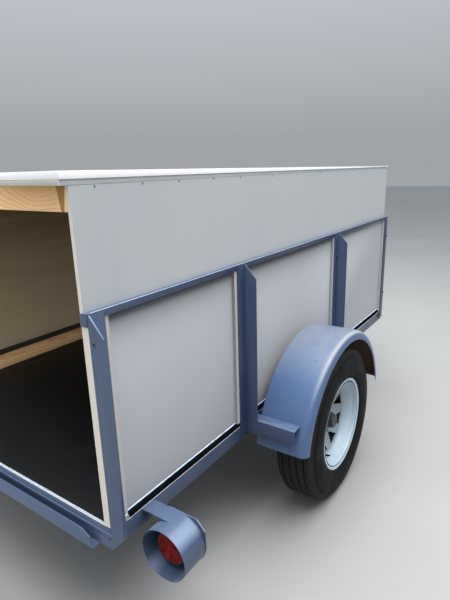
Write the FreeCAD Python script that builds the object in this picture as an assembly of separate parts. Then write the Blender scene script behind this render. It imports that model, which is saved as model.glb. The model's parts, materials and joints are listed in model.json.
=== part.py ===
import FreeCAD, Part
import math
import os

# Frame of the row: X to the trailer's right, Y forward to the tongue, Z up, ground at Z 0.
# Lengths along Y are first measured from the rear face of the rear posts, then shifted.

V = FreeCAD.Vector

# Box and frame
box_length = 2440.0
half_width = 804.0
floor_top = 517.0
floor_thick = 18.0
floor_set_in = 13.0
sill_step = 3.0
sill_top_drop = 7.0
sill_bar_drop = 27.0
sill_hole_out = 8.0
sill_hole_drop = 42.0
sill_hole = 4.5
angle_leg = 51.0
angle_thick = 5.0
rail_depth = 57.0
top_rail_thick = 4.0
top_rail_face = 19.0
top_rail_height = 619.0
rail_cap_tall = 35.0
rail_cap_thick = 3.0
rail_cap_round = 12.0
wall_height = 919.0
panel_thick = 12.0
batten_thick = 12.0
batten_show = 15.0
roof_upper = 19.0
roof_lower = 14.0
roof_upper_front = 5.0
roof_lower_front = 6.0
roof_rear = 25.0
roof_side = 3.0
lumber_wide = 38.0
lumber_tall = 60.0
runner_wide = 89.0
runner_tall = 38.0
runner_from_wall = 174.0
runner_end_gap = 40.0
cross_count = 3

# Posts
post_foot = 59.0
post_cut_drop = 53.0
post_station_1 = 704.0
post_station_2 = 1600.0
foot_cut_out = 12.0
foot_cut_mid = 50.0
foot_cut_side = 16.0
foot_cut_in = 71.0
hole_out = 13.0
hole_drop = 79.0
bolt_hole = 6.75
bracket_reach = 204.0
bracket_drop = 55.0
bracket_deep = 90.0

# Ramp rail behind the sill
ramp_out = 24.0
ramp_drop = 29.0
ramp_deep = 51.0
ramp_end_in = 56.0
ramp_slant = 44.0
ramp_knee_in = 14.0
ramp_knee_drop = 45.0

# Running gear
axle_y = 1145.0
axle_radius = 30.0
spindle_radius = 16.0
spindle_past = 22.0
run_gap = 0.05
spring_half = 330.0
spring_wide = 44.0
leaf_thick = 7.0
eye_radius = 14.0
eye_pin = 6.0
eye_drop = 26.0
hanger_half = 28.0
hanger_low = 22.0
side_gap = 1.0
clamp_half = 38.0
clamp_plate = 8.0
bolt_wide = 10.0

# Tyre, measured from the middle plane of the wheel
tyre_radius = 342.0
tyre_width = 184.0
tyre_gap = 55.0
shoulder_radius = 306.0
tread_half = 66.0
wall_flare = 12.0
bead_gap = 0.5

# Rim
rim_width = 152.0
bead_radius = 190.0
flange_radius = 208.0
flange_out = 4.0
rim_skin = 4.0
drop_radius = 168.0
drop_in = 20.0
disc_out = 14.0
web_radius = 104.0
web_in = 8.0
rim_bore = 37.0
window_count = 9
window_turn = 17.0
window_low = 106.0
window_high = 150.0
window_low_half = 4.6
window_high_half = 33.7

# Hub
hub_radius = 36.0
hub_flange_radius = 70.0
hub_flange_thick = 12.0
cap_radius = 31.0
cap_long = 16.0
cap_face = 190.0

# Fender
fender_y = 1151.0
fender_drop = 190.0
fender_gap = 97.0
fender_skin = 2.0
fender_in = 34.0
fender_over = 4.0
fender_roll = 30.0
fender_lip = 10.0
fender_cut = 10.2

# Lamps
hood_x = 109.0
hood_radius = 80.0
hood_skin = 2.0
hood_rear = 78.0
arm_rear = 119.0
arm_front = 170.0
arm_thick = 5.0
plate_thick = 4.0
plate_proud = 1.5
plate_corner = 30.0
lens_radius = 50.0
lens_rear = 110.0

# Tongue and braces
tongue_half = 25.5
tongue_tall = 76.0
tongue_wall = 4.0
coupler_reach = 1040.0
ball_past = 150.0
brace_leg = 50.0
brace_side_in = 240.0
brace_ahead = 290.0
brace_behind = 25.0

# Coupler
ball_radius = 25.4
ball_gap = 0.6
coupler_wall = 4.0
coupler_over = 150.0
coupler_side = 45.0
socket_deep = 22.0
housing_wall = 6.0
latch_half = 10.0
latch_tall = 16.0
handle_reach = 75.0

# Jack
jack_back = 440.0
jack_x = 92.0
jack_tube_radius = 27.0
jack_leg_radius = 22.0
jack_leg_wall = 4.0
jack_top = 270.0
jack_low = 130.0
leg_inside = 200.0
foot_radius = 50.0
foot_thick = 5.0
pivot_pin = 12.0
pivot_plate = 6.0
boss_radius = 26.0
boss_long = 14.0
face_gap = 0.3
gear_half = 31.0
gear_tall = 34.0
crank_radius = 8.0
crank_out = 90.0
crank_drop = 129.0
grip_long = 90.0

# Levels and faces that follow
front_y = box_length
ball_y = box_length + coupler_reach
jack_y = ball_y - jack_back
tongue_end = ball_y - ball_past
cross_step = box_length / (cross_count + 1)
rail_face = half_width - angle_thick
panel_out = rail_face - batten_thick
panel_in = panel_out - panel_thick
rail_top_z = floor_top - floor_thick
rail_low_z = rail_top_z - rail_depth
top_rail_z = floor_top + top_rail_height
under_leg = top_rail_z - top_rail_thick
wall_top_z = floor_top + wall_height
hub_z = tyre_radius
fender_z = floor_top - fender_drop
fender_radius = tyre_radius + fender_gap
fender_sweep = 180.0 - 2 * fender_cut
post_end = front_y - angle_thick
mid = half_width + tyre_gap + tyre_width / 2.0
shell = ball_radius + ball_gap + housing_wall
shift = (ramp_out - ball_y - shell) / 2.0


def box(x0, x1, y0, y1, z0, z1):
    return Part.makeBox(x1 - x0, y1 - y0, z1 - z0, V(x0, y0, z0))


def cyl(radius, length, start, axis):
    return Part.makeCylinder(radius, length, V(*start), V(*axis))


def outline(path):
    # a step is a point (x, y, z), or an arc given as (point passed, end point)
    first = V(*path[0])
    here = first
    edges = []
    for step in path[1:]:
        if len(step) == 2:
            edges.append(Part.Arc(here, V(*step[0]), V(*step[1])).toShape())
            here = V(*step[1])
        else:
            edges.append(Part.makeLine(here, V(*step)))
            here = V(*step)
    edges.append(Part.makeLine(here, first))
    return Part.Wire(edges)


def prism(path, direction):
    return Part.Face(outline(path)).extrude(V(*direction))


def fused(shapes):
    return shapes[0].fuse(shapes[1:]).removeSplitter()


def mirrored(shape):
    return shape.mirror(V(0, 0, 0), V(1, 0, 0))


def turned(points, centre, start=0.0, sweep=360.0):
    # points are (distance along X, radius) pairs turned about an X axis through centre (Y, Z)
    y, z = centre
    face = Part.Face(outline([(x, y + r, z) for x, r in points]))
    if start:
        face.rotate(V(0, y, z), V(1, 0, 0), start)
    return face.revolve(V(0, y, z), V(1, 0, 0), sweep)


pieces = {}


def keep(name, shape):
    pieces[name] = shape.removeSplitter()


def keep_pair(name, right):
    keep(name + "_right", right)
    keep(name + "_left", mirrored(right))


# Posts: flat leg in the side plane, second leg outboard with its top corner cut
def outboard_post(leg_from, flange_from, foot, low_corner_cut):
    low = floor_top - foot
    out = rail_face + angle_leg
    leg = box(rail_face, half_width, leg_from, leg_from + angle_leg, low, under_leg)
    foot_corner = (rail_face, flange_from, low)
    corners = [(rail_face, flange_from, under_leg), (half_width, flange_from, under_leg),
               (out, flange_from, under_leg - post_cut_drop)]
    if low_corner_cut:
        passing = (half_width + foot_cut_side, flange_from, floor_top - foot_cut_mid)
        corners += [(out, flange_from, floor_top - foot_cut_out), (passing, foot_corner)]
    else:
        corners += [(out, flange_from, low), foot_corner]
    return fused([leg, prism(corners, (0, angle_thick, 0))])


leg_back = angle_leg - angle_thick
post_table = {
    # name: (flat leg starts, outboard leg starts, foot, low corner cut)
    "post_rear": (0.0, 0.0, foot_cut_in, True),
    "post_mid_rear": (post_station_1 - leg_back, post_station_1, post_foot, False),
    "post_mid_front": (post_station_2 - leg_back, post_station_2, post_foot, False),
}
bracket_out = half_width + bracket_reach
bracket_low = floor_top - bracket_drop
inside_fender = cyl(fender_radius, bracket_reach + angle_leg, (rail_face, fender_y, fender_z), (1, 0, 0))


def fender_bracket(flange_from, top_from):
    # angle across the post foot, its top leg running in to the skin of the fender
    face = box(half_width, bracket_out, flange_from, flange_from + angle_thick, bracket_low, floor_top)
    top = box(half_width, bracket_out, top_from, top_from + bracket_deep, floor_top - angle_thick, floor_top)
    return fused([face, top]).cut(inside_fender)


for name, (leg_from, flange_from, foot, low_corner_cut) in post_table.items():
    shape = outboard_post(leg_from, flange_from, foot, low_corner_cut)
    if name == "post_rear":
        hole = (half_width + hole_out, 0.0, top_rail_z - hole_drop)
        shape = shape.cut(cyl(bolt_hole, angle_thick, hole, (0, 1, 0)))
    if name == "post_mid_rear":
        shape = fused([shape, fender_bracket(flange_from, flange_from)])
    if name == "post_mid_front":
        shape = fused([shape, fender_bracket(flange_from, flange_from + angle_thick - bracket_deep)])
    keep_pair(name, shape)

# The front posts turn their second leg in across the front
front_leg_from = front_y - angle_leg
foot_z = floor_top - post_foot
keep_pair("post_front", fused([
    box(rail_face, half_width, front_leg_from, front_y, foot_z, under_leg),
    box(half_width - angle_leg, half_width, post_end, front_y, foot_z, under_leg)]))

# Plywood walls: battens behind the posts, panels inside them, and the front wall between
leg_starts = [row[0] for row in post_table.values()] + [front_leg_from]
wall_front = post_end - batten_thick
panel_end = wall_front - panel_thick
walls = [box(panel_in, panel_out, 0.0, panel_end, floor_top, top_rail_z)]
for leg_from in leg_starts:
    rear_edge = max(leg_from - batten_show, 0.0)
    front_edge = min(leg_from + angle_leg + batten_show, post_end)
    walls.append(box(panel_out, rail_face, rear_edge, front_edge, floor_top, under_leg))
keep_pair("panel_lower", fused(walls))
keep_pair("panel_upper", box(panel_in, panel_out, 0.0, panel_end, top_rail_z, wall_top_z))
front_batten = half_width - angle_leg - batten_show
keep("panel_lower_front", fused([
    box(-panel_out, panel_out, panel_end, wall_front, floor_top, top_rail_z),
    box(front_batten, panel_out, wall_front, post_end, floor_top, under_leg),
    box(-panel_out, -front_batten, wall_front, post_end, floor_top, under_leg)]))
keep("panel_upper_front", box(-panel_out, panel_out, panel_end, wall_front, top_rail_z, wall_top_z))

# Top rails: top leg in to the wall, face legs between the posts, a small plate on the rear end
face_low = top_rail_z - top_rail_face
rail_parts = [box(panel_out, half_width, 0.0, front_y, under_leg, top_rail_z)]
for behind, ahead in zip(leg_starts, leg_starts[1:]):
    rail_parts.append(box(half_width - top_rail_thick, half_width, behind + angle_leg, ahead,
                          face_low, under_leg))
cap_low = top_rail_z - rail_cap_tall
bend = rail_cap_round * (1.0 - math.sqrt(0.5))
rail_parts.append(prism([
    (rail_face, 0.0, cap_low), (panel_in, 0.0, cap_low), (panel_in, 0.0, top_rail_z - rail_cap_round),
    ((panel_in + bend, 0.0, top_rail_z - bend), (panel_in + rail_cap_round, 0.0, top_rail_z)),
    (rail_face, 0.0, top_rail_z)], (0, -rail_cap_thick, 0)))
keep_pair("rail_top", fused(rail_parts))
face_half = half_width - angle_leg
keep("rail_top_front", fused([
    box(-panel_out, panel_out, wall_front, front_y, under_leg, top_rail_z),
    box(-face_half, face_half, front_y - top_rail_thick, front_y, face_low, under_leg)]))

# Roof of two layers that thin out to the front, the lower one flush with the walls, and its lumber
lumber_in = panel_in - lumber_wide
lumber_low = wall_top_z - lumber_tall
roof_mid = wall_top_z + roof_lower
roof_mid_front = wall_top_z + roof_lower_front


def roof_layer(half, rear_low, rear_high, front_low, front_high):
    return prism([(-half, -roof_rear, rear_low), (-half, -roof_rear, rear_high),
                  (-half, wall_front, front_high), (-half, wall_front, front_low)], (2 * half, 0, 0))


keep("roof", fused([
    roof_layer(panel_out, wall_top_z, roof_mid, wall_top_z, roof_mid_front),
    roof_layer(panel_out + roof_side, roof_mid, roof_mid + roof_upper,
               roof_mid_front, roof_mid_front + roof_upper_front)]))
keep_pair("lumber", box(lumber_in, panel_in, 0.0, panel_end, lumber_low, wall_top_z))
keep("header_rear", box(-lumber_in, lumber_in, 0.0, lumber_wide, lumber_low, wall_top_z))

# Floor sheet, and the loose-laid runner beside the left wall
runner_left = -panel_in + runner_from_wall
keep("floor", box(-rail_face, rail_face, floor_set_in, post_end, rail_top_z, floor_top))
keep("floor_runner", box(runner_left, runner_left + runner_wide, runner_end_gap, panel_end - runner_end_gap,
                         floor_top, floor_top + runner_tall))

# Bottom side rails with the spring hangers
eye_z = rail_low_z - eye_drop
hanger_out = rail_face - angle_thick
spring_out = hanger_out - side_gap
spring_in = spring_out - spring_wide
hanger_in = spring_in - side_gap
spring_x = (spring_out + spring_in) / 2.0
eye_stations = [axle_y - spring_half, axle_y + spring_half]


def hanger_plate(x, y, top):
    return prism([(x, y - hanger_half, top), (x, y + hanger_half, top), (x, y + hanger_low, eye_z),
                  ((x, y, eye_z - hanger_low), (x, y - hanger_low, eye_z))], (angle_thick, 0, 0))


sill_back = sill_step + angle_thick
rail_from, rail_to = sill_back, post_end - angle_thick
rail_parts = [
    box(rail_face - angle_thick, rail_face, rail_from, rail_to, rail_low_z, rail_top_z),
    box(rail_face - rail_depth, rail_face, rail_from, rail_to, rail_top_z - angle_thick, rail_top_z)]
for y in eye_stations:
    rail_parts += [
        hanger_plate(hanger_out, y, rail_low_z),
        hanger_plate(hanger_in - angle_thick, y, rail_top_z - angle_thick),
        box(hanger_in, hanger_out, y - hanger_half, y + hanger_half, rail_low_z - angle_thick, rail_low_z),
        cyl(eye_pin, rail_face - hanger_in + angle_thick, (hanger_in - angle_thick, y, eye_z), (1, 0, 0))]
keep_pair("rail_bottom", fused(rail_parts))

# Sill with a flat bar along its lower face, front rail and cross members between the side rails
inner_leg = rail_face - rail_depth
inner_web = rail_face - angle_thick
leg_low = rail_top_z - angle_thick
sill_top = floor_top - sill_top_drop
sill = fused([
    box(-rail_face, rail_face, 0.0, sill_step, rail_low_z, floor_top - sill_bar_drop),
    box(-rail_face, rail_face, sill_step, sill_back, rail_low_z, sill_top),
    box(-rail_face, rail_face, sill_back, floor_set_in, rail_top_z, sill_top),
    box(-inner_leg, inner_leg, sill_back, angle_leg, leg_low, rail_top_z)])
for side in (-1, 1):
    hole = (side * (rail_face - sill_hole_out), 0.0, floor_top - sill_hole_drop)
    sill = sill.cut(cyl(sill_hole, sill_back, hole, (0, 1, 0)))
keep("sill_rear", sill)
keep("rail_bottom_front", fused([
    box(-rail_face, rail_face, post_end - angle_thick, post_end, rail_low_z, rail_top_z),
    box(-inner_leg, inner_leg, post_end - angle_leg, post_end, leg_low, rail_top_z)]))
for number in range(1, cross_count + 1):
    y = number * cross_step
    keep("cross_member_%d" % number, fused([
        box(-inner_leg, inner_leg, y, y + angle_leg, leg_low, rail_top_z),
        box(-inner_web, inner_web, y, y + angle_thick, rail_low_z, leg_low)]))

# Ramp rail: an angle behind and under the sill, its face cut in two slopes at both ends
ramp_top = floor_top - ramp_drop
ramp_low = rail_low_z - angle_thick
ramp_half = rail_face - ramp_end_in
knee = ramp_half - ramp_knee_in
knee_z = floor_top - ramp_knee_drop
ramp_face = [(ramp_half - ramp_slant, -ramp_out, ramp_top), (knee, -ramp_out, knee_z),
             (ramp_half, -ramp_out, ramp_low)]
keep("ramp_rail", fused([
    prism(ramp_face + [(-x, y, z) for x, y, z in ramp_face[::-1]], (0, angle_thick, 0)),
    box(-ramp_half, ramp_half, -ramp_out, ramp_deep - ramp_out, ramp_low, rail_low_z)]))

# Fenders: a turned skin whose outer edge rolls over, ends cut above the wheel centre
fender_from = half_width + fender_in
fender_to = half_width + tyre_gap + tyre_width + fender_over
roll_steps = 4


def rolled_edge(inset):
    bow = fender_roll - inset
    angles = [math.radians(90.0 * step / roll_steps) for step in range(roll_steps + 1)]
    return [(fender_to - fender_roll + bow * math.sin(a), fender_radius - fender_roll + bow * math.cos(a))
            for a in angles]


lip_low = fender_radius - fender_roll - fender_lip
skin = [(fender_from, fender_radius)] + rolled_edge(0.0)
skin += [(fender_to, lip_low), (fender_to - fender_skin, lip_low)]
skin += rolled_edge(fender_skin)[::-1] + [(fender_from, fender_radius - fender_skin)]
keep_pair("fender", turned(skin, (fender_y, fender_z), fender_cut, fender_sweep))

# Lamps: arm, back plate and round hood welded into one, the lens inside the hood
lamp_x = half_width + hood_x
lamp_z = rail_top_z - hood_radius
hood_long = arm_front - hood_rear
arm = box(rail_face, lamp_x, arm_rear, arm_front, rail_top_z - arm_thick, rail_top_z)
tube = cyl(hood_radius, hood_long, (lamp_x, hood_rear, lamp_z), (0, 1, 0))
bore = cyl(hood_radius - hood_skin, hood_long, (lamp_x, hood_rear, lamp_z), (0, 1, 0))
edge = hood_radius + plate_proud
cut = edge - plate_corner
shoulder_z = rail_top_z - plate_corner
plate = prism([
    (lamp_x - edge, arm_front, shoulder_z), (lamp_x - cut, arm_front, rail_top_z),
    (lamp_x + cut, arm_front, rail_top_z), (lamp_x + edge, arm_front, shoulder_z),
    (lamp_x + edge, arm_front, lamp_z),
    ((lamp_x, arm_front, lamp_z - edge), (lamp_x - edge, arm_front, lamp_z))], (0, plate_thick, 0))
keep_pair("lamp_hood", fused([arm, tube]).cut(bore).fuse(plate))
keep_pair("lamp_lens", cyl(lens_radius, arm_front - lens_rear, (lamp_x, lens_rear, lamp_z), (0, 1, 0)))

# Tongue of rectangular tube under the middle cross member, with the jack's bracket and pivot pin
tongue_top = rail_low_z
tongue_low = tongue_top - tongue_tall
tongue_from = cross_step * ((cross_count + 1) // 2)
tongue = box(-tongue_half, tongue_half, tongue_from, tongue_end, tongue_low, tongue_top)
hollow = box(tongue_wall - tongue_half, tongue_half - tongue_wall, tongue_from, tongue_end,
             tongue_low + tongue_wall, tongue_top - tongue_wall)
pivot_z = (tongue_top + tongue_low) / 2.0
plate_half = tongue_tall / 2.0 - tongue_wall
boss_face = -tongue_half - pivot_plate - boss_long
keep("tongue", fused([
    tongue.cut(hollow),
    box(-tongue_half - pivot_plate, -tongue_half, jack_y - 2 * plate_half, jack_y + 2 * plate_half,
        pivot_z - plate_half, pivot_z + plate_half),
    cyl(boss_radius, boss_long, (boss_face, jack_y, pivot_z), (1, 0, 0)),
    cyl(pivot_pin, pivot_pin * 2, (boss_face - pivot_pin * 2, jack_y, pivot_z), (1, 0, 0))]))

# Diagonal angle braces from the front rail to the tongue
brace_from = V(rail_face - brace_side_in, front_y - brace_behind, 0)
brace_to = V(0.0, front_y + brace_ahead, 0)
run = brace_to - brace_from
along = V(run)
along.normalize()
across = V(-along.y, along.x, 0)


def brace_strip(wide, z0, z1):
    start = brace_from - across * (brace_leg / 2.0)
    corners = [start, start + across * wide, start + across * wide + run, start + run]
    return prism([(p.x, p.y, z0) for p in corners], (0, 0, z1 - z0))


brace = fused([brace_strip(brace_leg, tongue_top - angle_thick, tongue_top),
               brace_strip(angle_thick, tongue_top - brace_leg, tongue_top - angle_thick)])
ahead_of_rail = box(tongue_half, rail_face, post_end - angle_leg, tongue_end, tongue_low, tongue_top)
keep_pair("tongue_brace", brace.common(ahead_of_rail))

# Coupler: channel over the tongue end, and a domed housing with the ball's socket open below
ball_z = tongue_top - socket_deep
over_half = tongue_half + coupler_wall
socket_radius = ball_radius + ball_gap
channel_from = tongue_end - coupler_over
channel = box(-over_half, over_half, channel_from, ball_y,
              tongue_top - coupler_side, tongue_top + coupler_wall)
channel = channel.cut(box(-tongue_half, tongue_half, channel_from, ball_y, tongue_low, tongue_top))


def dome(radius, low):
    # straight wall up to the ball's centre, then two slopes to a small flat crown
    crown = radius * 0.35
    steps = [(0.0, low), (radius, low), (radius, ball_z), (radius * 0.82, ball_z + radius * 0.58),
             (crown, ball_z + radius * 0.93), (0.0, ball_z + radius * 0.93)]
    face = Part.Face(outline([(r, ball_y, z) for r, z in steps]))
    return face.revolve(V(0, ball_y, 0), V(0, 0, 1), 360.0)


housing = dome(shell, ball_z - socket_deep)
socket = dome(socket_radius, ball_z - coupler_side)
keep("coupler", fused([channel, housing]).cut(socket))
latch_low = tongue_top + coupler_wall
latch_from = tongue_end + latch_tall
keep("coupler_latch", fused([
    box(-latch_half, latch_half, latch_from, ball_y - shell - latch_half, latch_low, latch_low + latch_tall),
    box(-latch_half * 0.7, latch_half * 0.7, latch_from - handle_reach, latch_from,
        latch_low + latch_tall / 2.0, latch_low + latch_tall)]))

# Jack on the left side of the tongue: outer tube with gear box and crank, inner leg with its foot
tube_top = pivot_z + jack_top
tube_low = pivot_z - jack_low
crank_z = tube_top + gear_tall / 2.0
crank_x = -jack_x - crank_out
grip_z = crank_z - crank_drop + crank_radius
outer_tube = cyl(jack_tube_radius, tube_top - tube_low, (-jack_x, jack_y, tube_low), (0, 0, 1))
pivot_boss = cyl(boss_radius, jack_x + boss_face - face_gap, (-jack_x, jack_y, pivot_z), (1, 0, 0))
pin_deep = pivot_pin * 2 + face_gap
pivot_hole = cyl(pivot_pin + run_gap, pin_deep, (boss_face - pin_deep, jack_y, pivot_z), (1, 0, 0))
leg_bore = cyl(jack_leg_radius + run_gap, tube_top - tube_low - crank_radius,
               (-jack_x, jack_y, tube_low), (0, 0, 1))
gear = box(-jack_x - gear_half, -jack_x + gear_half, jack_y - gear_half, jack_y + gear_half,
           tube_top, tube_top + gear_tall)
keep("jack_tube", fused([
    fused([outer_tube, pivot_boss]).cut(leg_bore).cut(pivot_hole), gear,
    cyl(crank_radius, crank_out - gear_half, (crank_x, jack_y, crank_z), (1, 0, 0)),
    box(crank_x - crank_radius, crank_x, jack_y - crank_radius, jack_y + crank_radius, crank_z - crank_drop,
        crank_z + crank_radius),
    cyl(crank_radius, grip_long, (crank_x - crank_radius - grip_long, jack_y, grip_z), (1, 0, 0))]))
leg_top = tube_low + leg_inside
keep("jack_leg", fused([
    cyl(jack_leg_radius, leg_top, (-jack_x, jack_y, 0.0), (0, 0, 1)).cut(
        cyl(jack_leg_radius - jack_leg_wall, leg_top, (-jack_x, jack_y, foot_thick), (0, 0, 1))),
    cyl(foot_radius, foot_thick, (-jack_x, jack_y, 0.0), (0, 0, 1))]))

# Straight axle beam with its spindles
spindle_from = half_width + tyre_gap
spindle_to = mid + spindle_past
beam = cyl(axle_radius, 2 * spindle_from, (-spindle_from, axle_y, hub_z), (1, 0, 0))
spindles = cyl(spindle_radius, 2 * spindle_to, (-spindle_to, axle_y, hub_z), (1, 0, 0))

# Leaf springs: each leaf follows the arch of the longest one, which carries the eyes
main_low = hub_z + axle_radius + leaf_thick * 2
leaf_steps = 8
leaf_step = spring_half / leaf_steps
eye_rise = eye_z - leaf_thick / 2.0 - main_low


def leaf(steps, layer):
    low = main_low - layer * leaf_thick
    under = [(step * leaf_step, low + eye_rise * (step / leaf_steps) ** 2)
             for step in range(-steps, steps + 1)]
    over = [(y, z + leaf_thick) for y, z in under[::-1]]
    return prism([(spring_in, axle_y + y, z) for y, z in under + over], (spring_wide, 0, 0))


leaves = [leaf(steps, layer) for layer, steps in enumerate((8, 6, 3))]
eyes = [cyl(eye_radius, spring_wide, (spring_in, y, eye_z), (1, 0, 0)) for y in eye_stations]
spring = fused(leaves + eyes).cut(beam)
for y in eye_stations:
    spring = spring.cut(cyl(eye_pin, spring_wide, (spring_in, y, eye_z), (1, 0, 0)))
keep_pair("spring", spring)

# Spring clamps: a plate under the axle and one over the spring, joined by square-shanked bolts
clamp_top = hub_z - axle_radius + 3.0
over_spring = main_low + leaf_thick + side_gap
bolt_half = spring_wide / 2.0 + side_gap
clamp_long = clamp_half + clamp_plate
clamp_parts = [
    box(spring_x - clamp_half, spring_x + clamp_half, axle_y - clamp_long, axle_y + clamp_long,
        low, low + clamp_plate)
    for low in (clamp_top - clamp_plate, over_spring)]
for side in (-1, 1):
    for end in (-1, 1):
        x = spring_x + side * (bolt_half + bolt_wide / 2.0)
        y = axle_y + end * clamp_half
        shank = bolt_wide / 2.0
        clamp_parts.append(box(x - shank, x + shank, y - shank, y + shank,
                               clamp_top - 2 * clamp_plate, over_spring + 2 * clamp_plate))
clamp = fused(clamp_parts)
keep("axle", fused([beam, spindles, clamp, mirrored(clamp)]))

# Tyre: straight beads on the rim, flat side walls, one slope at the shoulder
hub_centre = (axle_y, hub_z)
rim_half = rim_width / 2.0
tyre_half = tyre_width / 2.0
bead = bead_radius + bead_gap
over_flange = flange_radius + bead_gap
half_tyre = [
    (rim_half - bead_gap, bead), (rim_half - bead_gap, over_flange), (tyre_half, over_flange + wall_flare),
    (tyre_half, shoulder_radius), (tread_half, tyre_radius)]
tyre_outline = [(mid + x, r) for x, r in half_tyre] + [(mid - x, r) for x, r in half_tyre[::-1]]
keep_pair("tyre", turned(tyre_outline, hub_centre))

# Rim: barrel with flanges, and a dished disc with a ring of three-cornered windows
outside = rim_half + flange_out
inside_radius = bead_radius - rim_skin
disc_radius = drop_radius - rim_skin
web_back = -web_in - rim_skin
rim = turned([(mid + x, r) for x, r in (
    (-outside, flange_radius), (-rim_half, flange_radius), (-rim_half, bead_radius),
    (rim_half, bead_radius), (rim_half, flange_radius), (outside, flange_radius),
    (outside, inside_radius), (disc_out, disc_radius), (-web_in, web_radius), (-web_in, rim_bore),
    (web_back, rim_bore), (web_back, web_radius), (disc_out - rim_skin * 1.5, disc_radius),
    (-drop_in, disc_radius), (-outside, inside_radius))], hub_centre)
window = prism([(mid - outside, axle_y + side, hub_z + up) for side, up in (
    (-window_low_half, window_low), (window_low_half, window_low),
    (window_high_half, window_high), (-window_high_half, window_high))], (2 * outside, 0, 0))
for number in range(window_count):
    cutter = window.copy()
    cutter.rotate(V(0, axle_y, hub_z), V(1, 0, 0), window_turn - 90.0 + number * 360.0 / window_count)
    rim = rim.cut(cutter)
keep_pair("rim", rim)

# Hub: flange against the back of the disc, and a cap over the spindle's end
hub_from = spindle_from + rim_skin
flange_face = mid + web_back
cap_to = half_width + cap_face
hub = turned([
    (hub_from, spindle_radius + run_gap), (hub_from, hub_radius),
    (flange_face - hub_flange_thick, hub_radius), (flange_face - hub_flange_thick, hub_flange_radius),
    (flange_face, hub_flange_radius), (flange_face, hub_radius),
    (cap_to - cap_long, hub_radius), (cap_to - cap_long, cap_radius), (cap_to, cap_radius),
    (cap_to, 0.0), (spindle_to + run_gap, 0.0), (spindle_to + run_gap, spindle_radius + run_gap)], hub_centre)
keep_pair("hub", hub)

os.makedirs("parts", exist_ok=True)
for name, shape in pieces.items():
    shape.translate(V(0, shift, 0))
    shape.exportStep("parts/%s.step" % name)
    size = shape.BoundBox
    print("%-20s solids %d valid %s  %.0f x %.0f x %.0f" % (
        name, len(shape.Solids), shape.isValid(), size.XLength, size.YLength, size.ZLength))
print(len(pieces), "pieces, shift", shift)
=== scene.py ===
import json
import math
import bmesh
import bpy
from mathutils import Matrix, Vector, noise


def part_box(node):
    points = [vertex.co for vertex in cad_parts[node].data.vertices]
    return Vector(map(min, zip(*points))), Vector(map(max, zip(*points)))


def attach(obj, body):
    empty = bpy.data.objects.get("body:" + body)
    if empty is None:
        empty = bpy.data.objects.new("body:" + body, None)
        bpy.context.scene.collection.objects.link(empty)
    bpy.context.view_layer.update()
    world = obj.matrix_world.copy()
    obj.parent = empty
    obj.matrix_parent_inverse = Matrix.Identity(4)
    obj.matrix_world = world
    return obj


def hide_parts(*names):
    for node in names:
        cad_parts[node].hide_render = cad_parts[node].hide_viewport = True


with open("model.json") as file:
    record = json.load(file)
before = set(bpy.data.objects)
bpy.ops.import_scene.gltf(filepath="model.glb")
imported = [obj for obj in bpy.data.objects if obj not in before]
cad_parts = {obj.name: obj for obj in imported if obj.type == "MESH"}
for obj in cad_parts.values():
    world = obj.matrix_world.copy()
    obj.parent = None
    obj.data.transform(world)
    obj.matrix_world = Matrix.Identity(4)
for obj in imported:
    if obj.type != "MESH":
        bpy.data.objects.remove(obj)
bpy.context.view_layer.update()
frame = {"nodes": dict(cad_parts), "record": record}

nodes = frame["nodes"]
scene = bpy.context.scene
sides = {"right": 1, "left": -1}
mm = 0.001

# Places that the pieces below share, read from the frame
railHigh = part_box("rail_top_right")[1]
postFace = railHigh[0]                          # outer face of the posts' flat legs
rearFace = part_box("post_rear_right")[0][1]      # rear face of the rear posts
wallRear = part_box("panel_lower_right")[0][1]    # rear edge of the lower walls
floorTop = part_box("floor")[1][2]
slotByNode = {row["node"]: row["material_slot"] for row in frame["record"]["subparts"]}
print("frame loaded:", len(nodes), "nodes")


def bodyOf(name):
    for body, members in frame["record"]["behaviour"]["bodies"].items():
        if name in members:
            return body
    return "chassis"


def place(piece, body, slotName, *replaced):
    # puts a finished piece on its body and hides the solids it stands in for
    if piece.name not in scene.collection.all_objects:
        scene.collection.objects.link(piece)
    if replaced:
        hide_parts(*replaced)
    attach(piece, body)


def pieceFrom(name, bm, materials, sharpAngle=35):
    mesh = bpy.data.meshes.new(name)
    bm.normal_update()
    bm.to_mesh(mesh)
    bm.free()
    for material in materials:
        mesh.materials.append(material)
    mesh.shade_smooth()
    mesh.set_sharp_from_angle(angle=math.radians(sharpAngle))
    return bpy.data.objects.new(name, mesh)


def standIn(name, bm, materials, sharpAngle=35):
    # a piece that takes the place of its solid, on the solid's own body
    piece = pieceFrom(name + "_dressed", bm, materials, sharpAngle)
    place(piece, bodyOf(name), slotByNode[name], name)


# Node helpers for the materials
def addNode(tree, kind, values=None, **settings):
    made = tree.nodes.new(kind)
    for key, value in settings.items():
        setattr(made, key, value)
    for key, value in (values or {}).items():
        made.inputs[key].default_value = value
    return made


def join(tree, source, target):
    tree.links.new(source, target)


def newFinish(name, roughness=0.5, metallic=0, coat=0, specular=0.5):
    material = bpy.data.materials.new(name)
    material.use_nodes = True
    tree = material.node_tree
    shader = tree.nodes["Principled BSDF"]
    for socket, value in (("Roughness", roughness), ("Metallic", metallic), ("Coat Weight", coat),
                          ("Specular IOR Level", specular)):
        shader.inputs[socket].default_value = value
    return material, tree, shader


def objectCoords(tree, stretch):
    mapping = addNode(tree, "ShaderNodeMapping", {"Scale": stretch})
    join(tree, addNode(tree, "ShaderNodeTexCoord").outputs["Object"], mapping.inputs["Vector"])
    return mapping.outputs["Vector"]


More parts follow.
